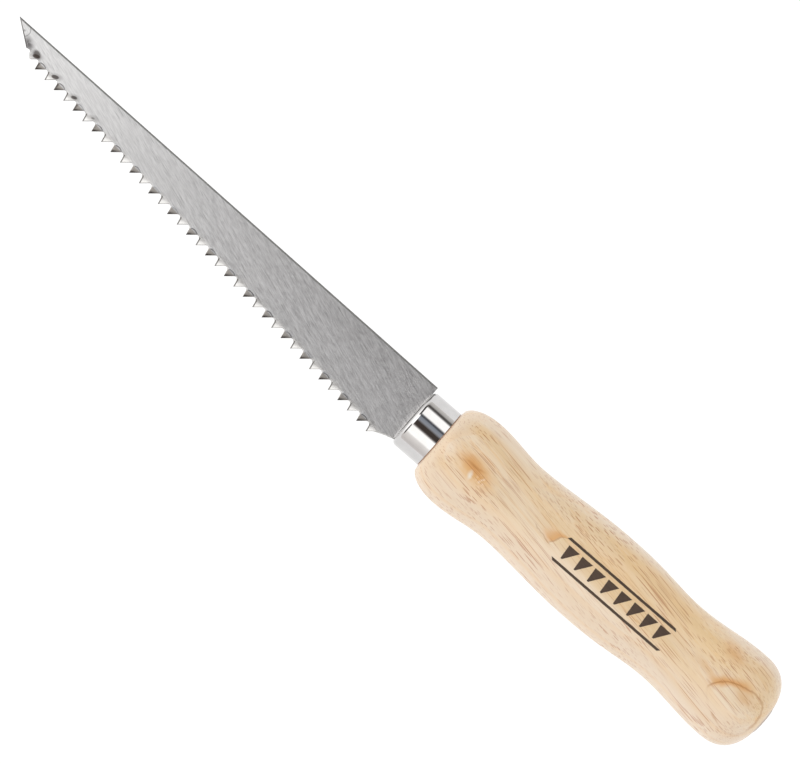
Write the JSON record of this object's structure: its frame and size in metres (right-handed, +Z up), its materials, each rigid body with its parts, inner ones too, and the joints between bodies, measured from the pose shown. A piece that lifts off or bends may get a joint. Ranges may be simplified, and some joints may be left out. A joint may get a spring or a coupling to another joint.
{
  "type": "wallboard jab saw",
  "caption": "Wallboard jab saw: a tapered, pointed steel blade with set teeth, a plated steel ferrule and a waisted hardwood handle.",
  "frame": {"origin": "under the middle of the saw's box, on the surface that the handle lies on", "axes": "+X along the saw towards the blade's point, +Y towards the teeth, +Z up out of the blade's face"},
  "size_m": [0.2792, 0.0282, 0.025],
  "materials": {
    "blade_steel": "brushed",
    "ferrule_plating": "polished",
    "handle_wood": "satin",
    "tang_resin": "gloss",
    "pin_steel": "brushed"
  },
  "bodies": {
    "root": {"blade": "blade_steel", "ferrule": "ferrule_plating", "handle": "handle_wood", "tang_resin": "tang_resin", "tang_pin": "pin_steel"}
  },
  "joints": []
}
